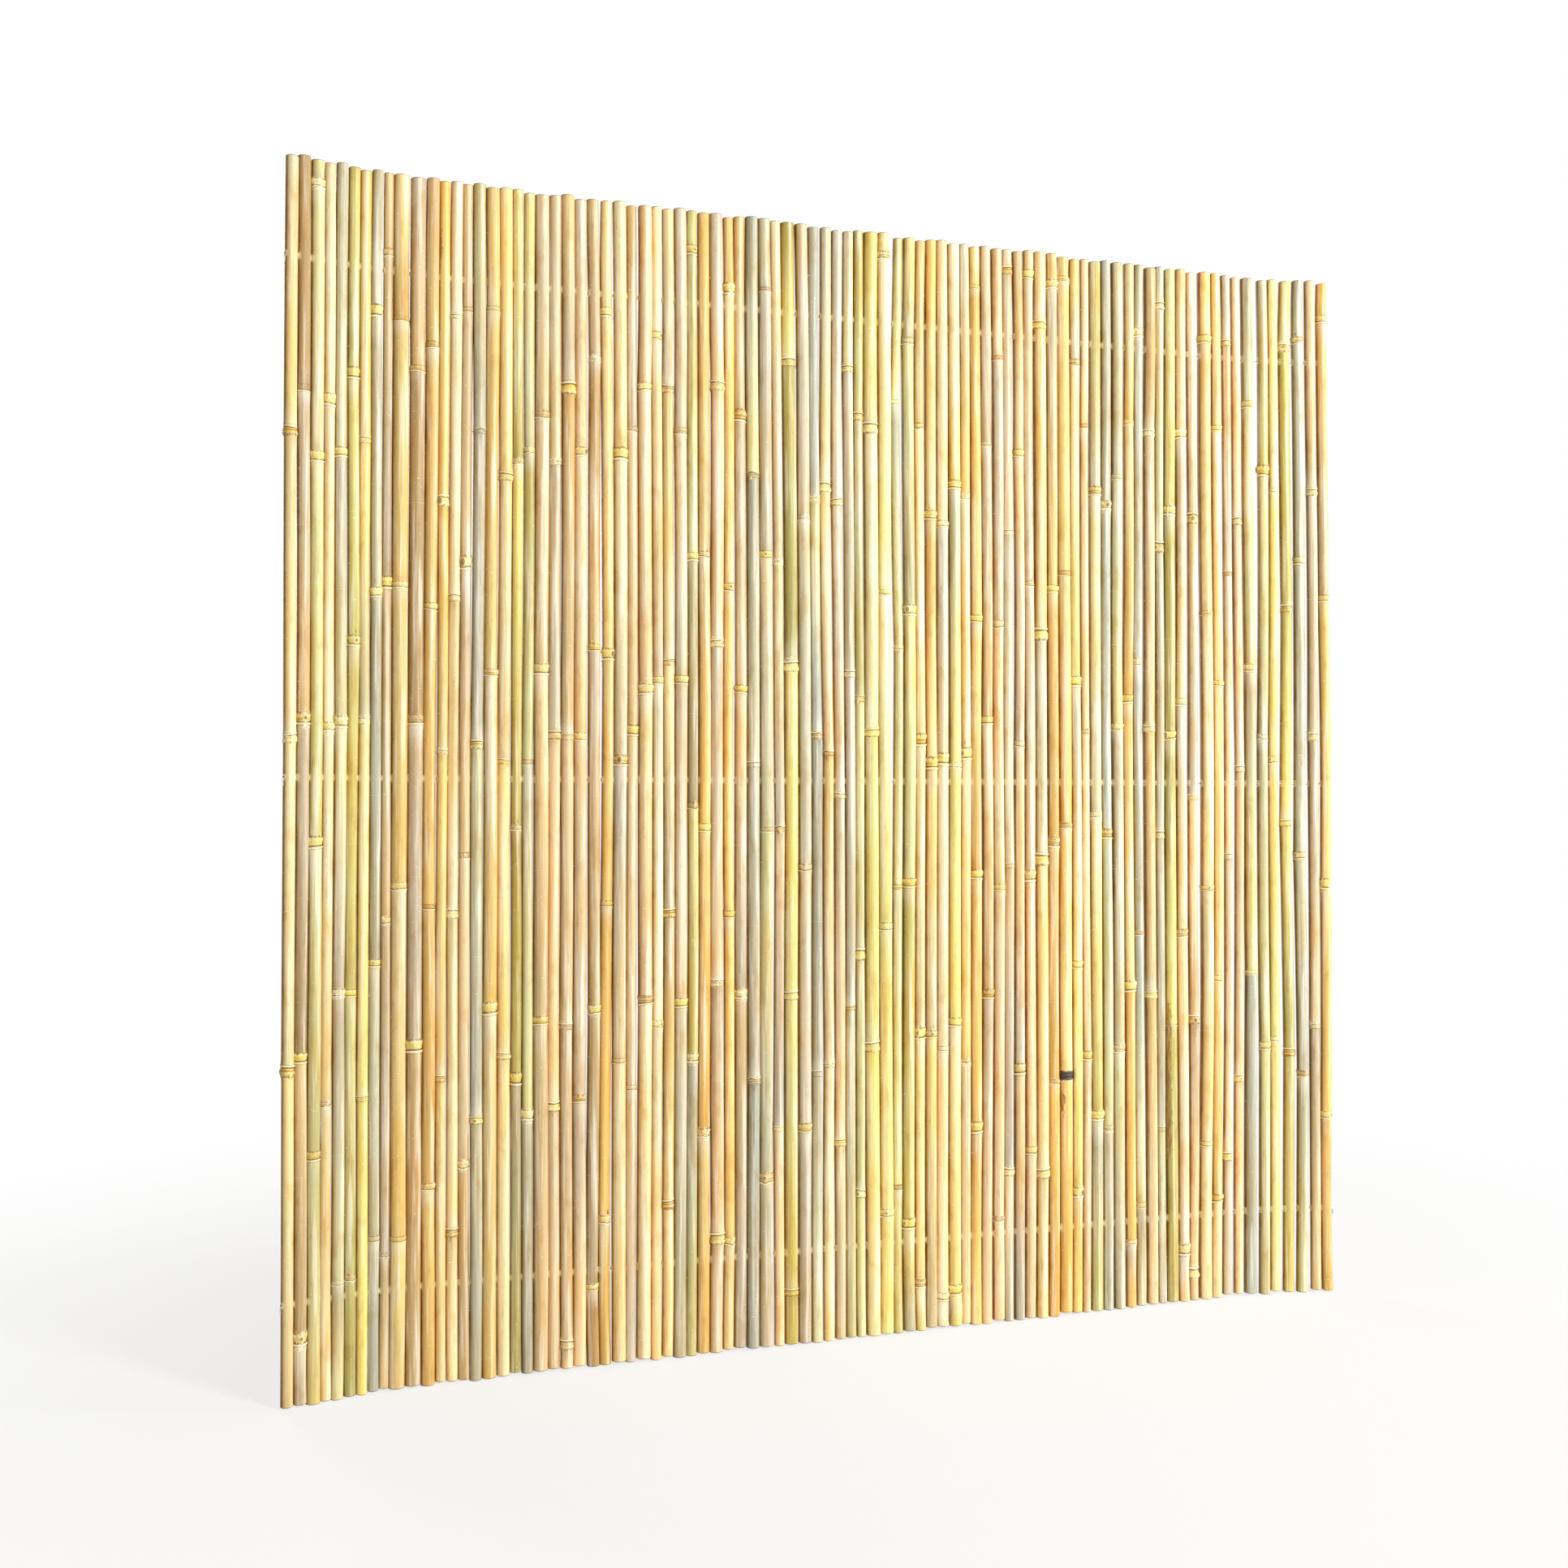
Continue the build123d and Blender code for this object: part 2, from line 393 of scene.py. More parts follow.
# %% [markdown]
# ## Reading the poles from the frame
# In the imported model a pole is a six-sided solid. Its corners lie in level rings: one at each cut
# end and two at each node. Between them are the square holes, with four corners at a level. So
# sorting a solid's corners by height gives back its line, its thickness, its nodes and its holes,
# and nothing about the poles has to be typed in twice.

# %% Solids, rings and holes
SAME_POINT = 0.00001
SAME_LEVEL = 0.5 * MM
POLE_CORNERS = 6
HOLE_CORNERS = 4
# A six-sided solid has its round pole's area, so its corners lie this much outside the round radius
CORNER_SHARE = math.sqrt(math.pi / (2 * math.sqrt(3))) * 2 / math.sqrt(3)


def solids_of(node):
    """Each separate solid of a node, from left to right, as an array of its corners."""
    work = bmesh.new()
    work.from_mesh(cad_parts[node].data)
    bmesh.ops.remove_doubles(work, verts=work.verts, dist=SAME_POINT)
    waiting = set(work.verts)
    solids = []
    while waiting:
        front = [waiting.pop()]
        solid = []
        while front:
            corner = front.pop()
            solid.append(tuple(corner.co))
            reached = {edge.other_vert(corner) for edge in corner.link_edges} & waiting
            waiting -= reached
            front.extend(reached)
        solids.append(np.array(sorted(solid, key=lambda point: point[2])))
    work.free()
    return sorted(solids, key=lambda corners: corners[:, 0].mean())


def levels_of(corners):
    """The corners of a solid in groups of the same height, from the foot up."""
    steps = np.diff(corners[:, 2]) > SAME_LEVEL
    return np.split(corners, np.flatnonzero(steps) + 1)


class Culm:
    """One pole as the frame holds it: its rings, its holes, and which way it grew."""

    def __init__(self, corners):
        rings = [level for level in levels_of(corners) if len(level) == POLE_CORNERS]
        bores = [level for level in levels_of(corners) if len(level) == HOLE_CORNERS]
        middles = np.array([ring.mean(axis=0) for ring in rings])
        reach = [np.linalg.norm(ring - ring.mean(axis=0), axis=1).mean() for ring in rings]
        self.heights = middles[:, 2]
        self.line = middles[:, :2]
        plain = [0, *range(2, len(rings), 2), len(rings) - 1]
        self.plain_heights = self.heights[plain]
        self.plain_radii = np.array(reach)[plain] / CORNER_SHARE
        self.grows = 1 if reach[0] > reach[-1] else -1
        self.scars = self.heights[1:-1:2] if self.grows > 0 else self.heights[2:-1:2]
        self.holes = [np.vstack(pair).mean(axis=0) for pair in zip(bores[::2], bores[1::2])]
        first = bores[0]
        right_flank = first[first[:, 0] > first[:, 0].mean()].mean(axis=0)
        toward = right_flank - first.mean(axis=0)
        self.heading = math.atan2(toward[1], toward[0])

    def centre(self, heights):
        """The pole's own line at some heights, as x and y."""
        return tuple(np.interp(heights, self.heights, self.line[:, axis]) for axis in (0, 1))

    def radius(self, heights):
        return np.interp(heights, self.plain_heights, self.plain_radii)


culms = {node: [Culm(corners) for corners in solids_of(node)] for node in POLE_NODES}
every_culm = [culm for node in POLE_NODES for culm in culms[node]]
scar_count = sum(len(culm.scars) for culm in every_culm)
hole_count = sum(len(culm.holes) for culm in every_culm)
print(len(every_culm), "poles with", scar_count, "nodes and", hole_count, "holes")

# %% [markdown]
# ## The shape of a node
# At a node the pole isn't round and smooth. The sheath scar stands out as a thin lip, which dips
# under the bud. Behind it is a narrow throat, then the ridge. Buds sit on alternate sides from node
# to node, and above each bud the pole is flattened into a groove where the branch lay against it.
# All of these are soft bumps and hollows in the radius, so each is one bell curve in the height
# over the scar and the way round from the bud. Sizes here are in millimetres. Nodes come in three
# habits, from a slight line to a stout, lumpy double ring. The collar between lip and ridge may be
# yellow, brown or flaking.

# %% The form of one node
BUD_MIDDLE = 6.5
RIDGE_MIDDLE = 9.8
BUD_WIDTH = 2.8
BUD_HEIGHT = 4.2
GROOVE_SHARE = 0.42
# Each habit's stretch along the pole, lip, ridge, bud and gold, from least to most
SLIGHT = ((0.55, 0.8), (0.3, 0.7), (0.2, 0.6), (0.3, 1.0), (0, 0.4))
USUAL = ((0.75, 1.1), (0.6, 1.1), (0.6, 1.4), (0.6, 2.2), (0.2, 0.9))
STOUT = ((1.05, 1.5), (0.9, 1.5), (1.0, 2.0), (1.4, 3.6), (0.5, 1))
HABITS = (SLIGHT, USUAL, USUAL, STOUT)
FLAKING_COLLARS = (0, 0, 0.4, 0.9)
BROWN_COLLARS = (0, 0, 0, 0.4, 1)
CREASES = (0, 0, 0.5, 0.9)
GROOVES = (0.1, 0.3, 0.7, 1.1)
MOST_TILT = 1.3
SCAR_DIP = (0.5, 2.6)
LUMPS = 3
MOST_LUMP = 0.3


def bell(distance, width):
    return np.exp(-(distance / width) ** 2)


def step(value, low, high):
    """A soft step from 0 at low to 1 at high."""
    share = np.clip((value - low) / (high - low), 0, 1)
    return share * share * (3 - 2 * share)


class NodeForm:
    """How one node changes the round pole round it."""

    def __init__(self, height, grows, room, facing, draw):
        self.height = height
        self.grows = grows
        self.facing = facing
        sizes = [draw.uniform(least, most) for least, most in draw.choice(HABITS)]
        self.stretch, self.lip, self.ridge, self.bud, self.gold = sizes
        self.room = room / MM / self.stretch
        self.pale = draw.choice(FLAKING_COLLARS)
        self.brown = draw.choice(BROWN_COLLARS)
        self.crease = draw.choice(CREASES)
        self.tilt = draw.uniform(-MOST_TILT, MOST_TILT)
        self.dip = draw.uniform(*SCAR_DIP)
        self.lumps = [(draw.uniform(-MOST_LUMP, MOST_LUMP), draw.uniform(0, math.tau))
                      for lump in range(LUMPS)]
        self.groove = draw.choice(GROOVES)
        self.wax = draw.random()
        self.mouldy = False

    def over_scar(self, z):
        """Height over the scar, the way the pole grew. A stretched node's millimetres are longer."""
        return (z - self.height) * self.grows / MM / self.stretch

    def round_from_bud(self, angle, radius):
        """The way round from the bud, along the skin."""
        turn = (angle - self.facing + math.pi) % math.tau - math.pi
        return turn * radius / MM

    def bud_shape(self, h, arc):
        return bell(arc, BUD_WIDTH) * bell(h - BUD_MIDDLE, BUD_HEIGHT)

    def groove_shape(self, h, arc, radius):
        """A groove that begins over the bud and runs out towards the next node."""
        length = np.clip(1 - h / self.room, 0, 1) ** 0.8
        return bell(arc, GROOVE_SHARE * radius / MM) * step(h, 7, 17) * length

    def swell(self, z, angle, radius):
        """What the node adds to the radius: lip, ridge, throat, and at times a second crease."""
        h = self.over_scar(z)
        arc = self.round_from_bud(angle, radius)
        waves = enumerate(self.lumps, start=2)
        uneven = 1 + sum(size * np.cos(wave * angle - turn) for wave, (size, turn) in waves)
        rings = self.lip * bell(h, 0.9) + self.ridge * uneven * bell(h - RIDGE_MIDDLE, 3.2)
        rings += 0.35 * bell(h + 2.5, 5) + 0.25 * bell(h - 5.5, 4) - 0.3 * self.lip * bell(h - 2, 1)
        rings += self.crease * (bell(h - 5.2, 0.9) - 0.6 * bell(h - 7.2, 0.9))
        bud = self.bud * self.bud_shape(h, arc)
        return rings + bud - self.groove * self.groove_shape(h, arc, radius)

    def lift(self, z, angle, radius):
        """How far the scar's ring wanders up or down."""
        h = self.over_scar(z)
        arc = self.round_from_bud(angle, radius)
        wander = self.tilt * np.cos(angle - self.facing) * bell(h, 7)
        return self.grows * (wander - self.dip * bell(arc, 4) * bell(h, 2.4))


print("on a plain node the ridge stands", RIDGE_MIDDLE, "mm over the scar")

# %% [markdown]
# ## Collecting a mesh
# A pole's skin is a grid: columns round the pole and rows up it. NumPy works out all points of a
# grid at once. The little class below gathers points, faces and marks until a piece is whole, and
# then makes one mesh of them. Points that no face uses are dropped, so nothing loose is left
# behind.

# %% The collector
SHARP_FROM = 40


class Piece:
    """Points, faces and marks of one piece, until they become a mesh."""

    def __init__(self):
        self.points = []
        self.tints = []
        self.marks = {name: [] for name in MARKS}
        self.faces = []
        self.count = 0

    def add_points(self, points, tints, **marks):
        """Adds points of any grid shape, and returns their numbers in the same shape."""
        shape = np.shape(points)[:-1]
        total = int(np.prod(shape))
        self.points.append(np.reshape(points, (total, 3)))
        self.tints.append(np.broadcast_to(tints, (*shape, 3)).reshape(total, 3))
        for name in MARKS:
            self.marks[name].append(np.broadcast_to(marks.get(name, 0.0), shape).reshape(total))
        numbers = np.arange(self.count, self.count + total).reshape(shape)
        self.count += total
        return numbers

    def add_strip(self, lower, upper):
        """Quads between two closed rings of points, seen from outside with `upper` above."""
        corners = [lower, np.roll(lower, -1), np.roll(upper, -1), upper]
        self.faces += np.stack(corners, axis=1).tolist()

    def add_fan(self, ring, middle, outward):
        """Triangles from a ring to one point."""
        following = np.roll(ring, -1)
        corners = [ring, following] if outward else [following, ring]
        self.faces += np.stack([*corners, np.full(len(ring), middle)], axis=1).tolist()

    def make_object(self, name, material):
        used = sorted({number for face in self.faces for number in face})
        renumbered = {old: new for new, old in enumerate(used)}
        mesh = bpy.data.meshes.new(name)
        points = np.concatenate(self.points)[used]
        faces = [[renumbered[number] for number in face] for face in self.faces]
        mesh.from_pydata(points.tolist(), [], faces)
        for mark_name, values in self.marks.items():
            attribute = mesh.attributes.new(mark_name, "FLOAT", "POINT")
            attribute.data.foreach_set("value", np.concatenate(values)[used].astype(np.float32))
        colours = np.column_stack([np.concatenate(self.tints)[used], np.ones(len(used))])
        attribute = mesh.attributes.new("tint", "FLOAT_COLOR", "POINT")
        attribute.data.foreach_set("color", colours.astype(np.float32).ravel())
        mesh.shade_smooth()
        mesh.set_sharp_from_angle(angle=math.radians(SHARP_FROM))
        mesh.materials.append(material)
        return add_object(name, mesh)


print("edges of more than", SHARP_FROM, "degrees stay sharp")

# %% [markdown]
# ## A pole's skin
# Rows are close together where the shape changes, at nodes and holes, and far apart between them.
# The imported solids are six-sided and keep a safe clearance, and round poles of the same area would
# leave slits. So a dressed pole is a little thicker, most of all at the left end, and stands a
# little behind or before its solid. Neighbours then overlap, as they do in the photograph.

# %% Rows and places on the skin
COLUMNS = 28
NODE_ROWS = (-27, -18, -12, -8, -5.5, -3.8, -2.4, -1.4, -0.7, 0, 0.7, 1.4, 2.2, 3.4, 4.3, 5.2,
             6.2, 7.2, 8.4, 9.6, 11, 12.8, 15.5, 20, 28)
WIDEST_ROW_GAP = 42 * MM
CLOSEST_ROWS = 0.4 * MM
EDGE = 1.2 * MM
PATCH = 3
BOW_FORWARD = 1.6 * MM
BOW_SIDEWAYS = (0.9 * MM, 1.3 * MM)
THICKER_AT_LEFT = 0.085
THICKER = 0.04
DEPTH_STEP = (-1.5 * MM, 1.8 * MM)
BUD_TWIST = 0.3
MOST_OVAL = 0.025
# A bud that stands out this many millimetres has its full colour
FULL_BUD = 1.5
# The right flanks face the light and get less of the painted shade, as in the photograph
RIGHT_FLANK_PAINTED_SHADE = 0.78
MOULD_MIDDLE = 5
MOULD_WIDTH = 6.5
ANGLES = np.arange(COLUMNS) * math.tau / COLUMNS


def mould_shape(h):
    """Black mould on a node, full under the ridge and gone a little above and below."""
    return np.clip(1.6 * bell(h - MOULD_MIDDLE, MOULD_WIDTH), 0, 1)


class Skin:
    """The outer surface of one pole, as a function of height and angle."""

    def __init__(self, culm, fullness, sideways, depth, draw):
        self.culm = culm
        self.fullness = fullness
        self.depth = depth
        self.foot = culm.heights[0]
        self.head = culm.heights[-1]
        first_facing = draw.uniform(0, math.tau)
        self.nodes = []
        ends = sorted([self.foot, *culm.scars, self.head])
        for number, height in enumerate(culm.scars):
            room = ends[number + 2] - height if culm.grows > 0 else height - ends[number]
            facing = first_facing + number * math.pi + draw.uniform(-BUD_TWIST, BUD_TWIST)
            self.nodes.append(NodeForm(height, culm.grows, room, facing, draw))
        self.oval = draw.uniform(0, MOST_OVAL)
        self.oval_facing = draw.uniform(0, math.pi)
        self.bows = np.array([(draw.uniform(-1, 1) * sideways, draw.uniform(-1, 1) * BOW_FORWARD)
                              for end in ends])
        self.ends = np.array(ends)

    def radius(self, z, angle):
        plain = self.culm.radius(z) * self.fullness
        swell = sum(node.swell(z, angle, plain) for node in self.nodes) * MM
        return plain * (1 + self.oval * np.cos(2 * (angle - self.oval_facing))) + swell

    def middle(self, z):
        """The pole's line. Between its nodes it bows a little, mostly to the front or the back."""
        x, y = self.culm.centre(z)
        stretch = np.clip(np.searchsorted(self.ends, z, side="right") - 1, 0, len(self.ends) - 2)
        share = (z - self.ends[stretch]) / (self.ends[stretch + 1] - self.ends[stretch])
        arc = np.sin(math.pi * np.clip(share, 0, 1))
        return x + self.bows[stretch, 0] * arc, y + self.bows[stretch, 1] * arc + self.depth

    def points(self, z, angle, radius=None):
        """Points at heights and angles, on the skin unless a radius is given."""
        z, angle = np.broadcast_arrays(z, angle)
        if radius is None:
            radius = self.radius(z, angle)
        x, y = self.middle(z)
        lift = sum(node.lift(z, angle, radius) for node in self.nodes) * MM
        turned = angle + self.culm.heading
        return np.stack([x + radius * np.cos(turned), y + radius * np.sin(turned), z + lift], axis=-1)

    def marks(self, z, angle):
        """The numbers that the skin's material reads."""
        z, angle = np.broadcast_arrays(z, angle)
        radius = self.culm.radius(z)
        from_scars = np.stack([node.over_scar(z) for node in self.nodes])
        nearest = np.abs(from_scars).argmin(axis=0)
        from_scar = np.take_along_axis(from_scars, nearest[None], axis=0)[0]

        def of_nearest(trait):
            return np.array([float(getattr(node, trait)) for node in self.nodes])[nearest]

        arcs = [node.round_from_bud(angle, radius) for node in self.nodes]
        spots = list(zip(self.nodes, from_scars, arcs))
        buds = [node.bud / FULL_BUD * node.bud_shape(h, arc) for node, h, arc in spots]
        grooves = [node.groove * node.groove_shape(h, arc, radius) for node, h, arc in spots]
        return {
            "near": np.clip(1 - np.abs(from_scar) / NODE_REACH, 0, 1),
            "above": (from_scar > -0.1).astype(float),
            "bud": np.max(buds, axis=0),
            "groove": np.max(grooves, axis=0),
            # How far a point faces a neighbour, for the painted shade between the poles; less on the
            # right flank
            "flank": np.maximum(-np.cos(angle), RIGHT_FLANK_PAINTED_SHADE * np.cos(angle)),
            "mould": of_nearest("mouldy") * mould_shape(from_scar),
            **{name: of_nearest(name) for name in ("wax", "gold", "pale", "brown")},
        }

    def row_heights(self, hole_step):
        """Heights of the grid's rows: the holes' own rows, the nodes' rows, and some between."""
        patches = [hole[2] + number * hole_step
                   for hole in self.culm.holes for number in range(-PATCH, PATCH + 1)]
        wanted = [node.height + node.grows * row * node.stretch * MM
                  for node in self.nodes for row in NODE_ROWS]
        patch_reach = (PATCH + 0.5) * hole_step
        rows = sorted([self.foot + EDGE, self.head - EDGE, *patches])
        for height in sorted(wanted):
            in_patch = any(abs(height - hole[2]) < patch_reach for hole in self.culm.holes)
            too_close = min(abs(height - row) for row in rows) < CLOSEST_ROWS
            if self.foot + EDGE < height < self.head - EDGE and not in_patch and not too_close:
                rows.append(height)
        rows.sort()
        filled = []
        for lower, upper in zip(rows, rows[1:]):
            parts = math.ceil((upper - lower) / WIDEST_ROW_GAP)
            filled += [lower + (upper - lower) * part / parts for part in range(parts)]
        return np.array([*filled, rows[-1]])


print("a row of points has", COLUMNS, "columns, and a node has", len(NODE_ROWS), "rows")

# %% [markdown]
# ### Drilled holes
# The drill leaves a clean bore with a torn, pale lip, and the bore is painted dark: painted shade
# in the hole. A hole is a square patch left out of the grid. Its border is a walk round the hole's
# middle, and each point of that walk gets a partner on the torn ring, on the hole's edge and in the
# bore. The bores of the two flanks are joined, mirrored left to right, so a hole is really open.

# %% Drilling
HOLE_RADIUS = 2.3 * MM
TORN_RING = 1.9
BORE_SHARE = 0.96
BORE_DEPTH = 0.7 * MM
UNEVEN_EDGE = (0.93, 1.08)
BURR = (0.1 * MM, 1.2 * MM)
HALF_WALK = [(column, -PATCH) for column in range(-PATCH, PATCH)]
HALF_WALK += [(PATCH, row) for row in range(-PATCH, PATCH)]
WALK = HALF_WALK + [(-column, -row) for column, row in HALF_WALK]
MIRRORED = [WALK.index((-column, row)) for column, row in WALK]
WALK_ANGLES = np.array([math.atan2(row, column) for column, row in WALK])


def off_middle(skin, hole):
    """How far a hole lies behind the pole's own middle line."""
    x, y = skin.middle(hole[2])
    heading = skin.culm.heading
    return (hole[1] - y) * math.cos(heading) - (hole[0] - x) * math.sin(heading)


def drill_flank(piece, skin, grid, row, column, middle_angle, hole, tints, draw):
    """Fills one flank's patch with rings down to the bore, and returns the bore's points."""
    around = np.array([draw.uniform(*UNEVEN_EDGE) for point in WALK])
    burr = np.array([draw.uniform(*BURR) for point in WALK])

    def ring(reach, depth, **marks):
        z = hole[2] + reach * around * np.sin(WALK_ANGLES)
        angle = middle_angle + reach * around * np.cos(WALK_ANGLES) / skin.culm.radius(z)
        points = skin.points(z, angle, skin.radius(z, angle) - depth)
        # Round a hole the flank's painted shade is nearly full
        return piece.add_points(points, tints, flank=0.9, **marks)

    border = np.array([grid[row + up, (column + along_row) % COLUMNS] for along_row, up in WALK])
    torn = ring(HOLE_RADIUS * TORN_RING, 0, drill=0.75)
    edge = ring(HOLE_RADIUS, -burr, drill=1, cut=0.2)
    # The bore is painted dark: painted shade inside the hole
    bore = ring(HOLE_RADIUS * BORE_SHARE, BORE_DEPTH, rim=1.4)
    for outer, inner in ((border, torn), (torn, edge), (edge, bore)):
        piece.add_strip(outer, inner)
    return bore


def drill_through(piece, skin, grid, row, hole, tints, draw):
    """Drills both flanks at a hole and joins the bores. Returns the patches' middle columns."""
    turn = off_middle(skin, hole) / float(skin.culm.radius(hole[2]))
    shift = round(turn / (math.tau / COLUMNS))
    columns = (shift, COLUMNS // 2 - shift)
    right = drill_flank(piece, skin, grid, row, columns[0], turn, hole, tints, draw)
    left = drill_flank(piece, skin, grid, row, columns[1], math.pi - turn, hole, tints, draw)
    piece.add_strip(right, left[MIRRORED])
    return columns


print("a hole's patch has", len(WALK), "border points")

# %% [markdown]
# ### Sawn ends
# A pole is a tube with a wall at each node. A cut end shows a ring of raw wood and a dark hollow
# that goes down to the first of those walls. The saw is never quite square to the pole, and a thin
# dark line is painted round the outer edge.

# %% Hollow ends
NODE_WALL = 3 * MM
SHALLOWEST_HOLLOW = 6 * MM
DEEPEST_HOLLOW = 70 * MM
WALL = (2.0 * MM, 2.9 * MM)
SAW_SLANT = 0.5 * MM


def saw_end(piece, skin, border, inward, tints, draw):
    """Closes an end with sawn wood and a hollow. Inward is 1 at the foot and -1 at the head."""
    end = skin.foot if inward > 0 else skin.head
    first_wall = min(abs(node.height - end) for node in skin.nodes)
    depth = max(min(first_wall - NODE_WALL, DEEPEST_HOLLOW), SHALLOWEST_HOLLOW)
    outer = skin.radius(np.full(COLUMNS, end), ANGLES)
    wall = draw.uniform(*WALL)
    pith = outer - wall * (1 + 0.1 * np.cos(ANGLES * 2 + draw.uniform(0, math.tau)))
    slant = SAW_SLANT * draw.random() * (1 + np.cos(ANGLES - draw.uniform(0, math.tau))) / 2
    # Rings from the skin over the cut and down: radius, distance inside the end, raw wood, dark rim
    stages = (
        (outer, 0.8 * MM, 0, 1),
        (outer, 0.2 * MM, 0, 1),
        (outer - 0.2 * MM, 0, 1, 0),
        (pith + 0.3 * MM, 0, 1, 0),
        (pith, 0.4 * MM, 1, 0),
        (pith, depth * 0.5, 1, 0),
        (pith, depth - 1.5 * MM, 1, 0),
        (pith * 0.8, depth, 1, 0),
        (pith * 0.35, depth + 0.4 * MM, 1, 0),
    )
    before = border
    for radius, offset, cut_share, rim_share in stages:
        z = end + inward * (offset + slant)
        x, y = skin.middle(z)
        turned = ANGLES + skin.culm.heading
        points = np.stack([x + radius * np.cos(turned), y + radius * np.sin(turned), z], axis=-1)
        ring = piece.add_points(points, tints, cut=cut_share, rim=rim_share)
        piece.add_strip(*((ring, before) if inward > 0 else (before, ring)))
        before = ring
    x, y = skin.middle(end)
    middle = piece.add_points([(x, y, end + inward * (depth + 0.6 * MM))], tints, cut=1.0)[0]
    piece.add_fan(before, middle, inward < 0)


print("walls of", WALL[0] / MM, "to", WALL[1] / MM, "mm")

# %% [markdown]
# ### Side shoots
# Some nodes keep the stub of a shoot that was trimmed off. It leaves the bud upwards and outwards
# and ends in a small pale cut. They stand at the front, and not where the fence curls forward, so
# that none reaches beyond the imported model.

# %% A trimmed shoot
STUB_SIDES = 10
STUB_RADIUS = (1.5 * MM, 2.3 * MM)
STUB_LENGTH = (3.0 * MM, 5.5 * MM)
STUB_RISE = math.radians(48)
STUB_ROOT = 1.2 * MM
STUB_DOME = 1.25 * MM
STUB_BUD = 0.5
# Rings from the root outwards: share of the length, share of the thickness, raw wood
STUB_RINGS = ((0, 1.35, 0), (0.45, 1.05, 0), (0.9, 1, 0), (0.97, 0.9, 1), (1, 0.55, 1))


def add_stub(piece, skin, node, tints, draw):
    """Adds the stub of a shoot to a node's bud."""
    z = node.height + node.grows * BUD_MIDDLE * MM
    radius = draw.uniform(*STUB_RADIUS)
    length = draw.uniform(*STUB_LENGTH)
    heading = node.facing + skin.culm.heading
    out = Vector((math.cos(heading), math.sin(heading), 0))
    up = Vector((0, 0, node.grows))
    axis = out * math.cos(STUB_RISE) + up * math.sin(STUB_RISE)
    across = up.cross(out).normalized() * node.grows
    rising = axis.cross(across).normalized()
    x, y = skin.middle(z)
    root = Vector((x, y, z)) + out * (skin.culm.radius(z) - STUB_ROOT)
    turns = np.arange(STUB_SIDES) * math.tau / STUB_SIDES
    rays = [across * math.cos(turn) + rising * math.sin(turn) for turn in turns]
    marks = skin.marks(z, np.full(STUB_SIDES, node.facing))
    marks["bud"] = STUB_BUD
    before = None
    for share, thickness, cut_share in STUB_RINGS:
        middle = root + axis * (length * share + STUB_ROOT * share)
        points = [middle + ray * radius * thickness for ray in rays]
        marks["cut"] = cut_share
        ring = piece.add_points(np.array(points), tints, **marks)
        if before is not None:
            piece.add_strip(before, ring)
        before = ring
    middle = piece.add_points([tuple(root + axis * (length + STUB_DOME))], tints, cut=1.0)[0]
    piece.add_fan(before, middle, True)


print("stubs of", STUB_LENGTH[0] / MM, "to", STUB_LENGTH[1] / MM, "mm")

# %% [markdown]
# ## Colouring and building the poles
# Every pole has its tint from the palette. Each internode then strays a little from it, and now and
# then one turns to a related tint, as where the lower leaf sheath kept the sun off, or to grey.

# %% One pole after another
STRAY_CHANCE = 0.5
STRAY_SHARE = (0.5, 1)
STRAY_LIGHT = (0.8, 1.1)
STRAY_WARMTH = 0.08
SHADE_AT_LEFT = 0.94
WEATHERED_CHANCE = 0.07
WEATHERED_SHARE = (0.4, 0.8)
WEATHERED = np.array(srgb(186, 178, 160))
MOULDY_POLE = 64
MOULDY_HEIGHT = 0.41
MOULDY_STRETCH = 1.1
SHEATHED_POLES = {74: (0.235, 0.53), 64: (0.33, 0.395), 12: (1.7, 1.765), 6: (1.745, 1.79)}
SHEATH_FACING = math.radians(-148)
SHEATH_EDGE = 0.02
SHEATH_NARROWNESS = 8
STUB_CHANCE = 0.44
STUB_FRONT = 0.75
STUB_NEAREST = 0.01


def strayed_tint(letter, draw):
    """A pole's tint, strayed a little, and at times towards a related one."""
    colour = np.array(TINTS[letter])
    if draw.random() < STRAY_CHANCE:
        other = np.array(TINTS[draw.choice(RELATED[letter])])
        colour = colour + (other - colour) * draw.uniform(*STRAY_SHARE)
    if draw.random() < WEATHERED_CHANCE:
        colour = colour + (WEATHERED - colour) * draw.uniform(*WEATHERED_SHARE)
    light = draw.uniform(*STRAY_LIGHT)
    warmth = draw.uniform(-STRAY_WARMTH, STRAY_WARMTH)
    return colour * light * np.array((1 + warmth / 2, 1, 1 - warmth))


def row_tints(letter, rows, skin, draw):
    """A colour for each row. Between two nodes one tint runs into another."""
    ends = [skin.foot, *sorted(node.height for node in skin.nodes), skin.head]
    colours = np.zeros((len(rows), 1, 3))
    for low, high in zip(ends, ends[1:]):
        share = step(rows, low, high)[..., None]
        mixed = strayed_tint(letter, draw) * (1 - share) + strayed_tint(letter, draw) * share
        colours = np.where((rows > low - 0.1 * MM)[..., None], mixed, colours)
    return colours


def grow_mould(skin):
    """Makes the node nearest to MOULDY_HEIGHT the black one of the photograph."""
    node = min(skin.nodes, key=lambda node: abs(node.height - MOULDY_HEIGHT))
    node.mouldy = True
    node.stretch = MOULDY_STRETCH
    node.pale = 1


def sheath_strip(rows, culm, low, high):
    """How strongly old sheath clings along one side of a pole, between two heights."""
    toward = 0.5 + 0.5 * np.cos(ANGLES[None] + culm.heading - SHEATH_FACING)
    between = step(rows, low, low + SHEATH_EDGE) * step(rows, high, high - SHEATH_EDGE)
    return between * toward ** SHEATH_NARROWNESS


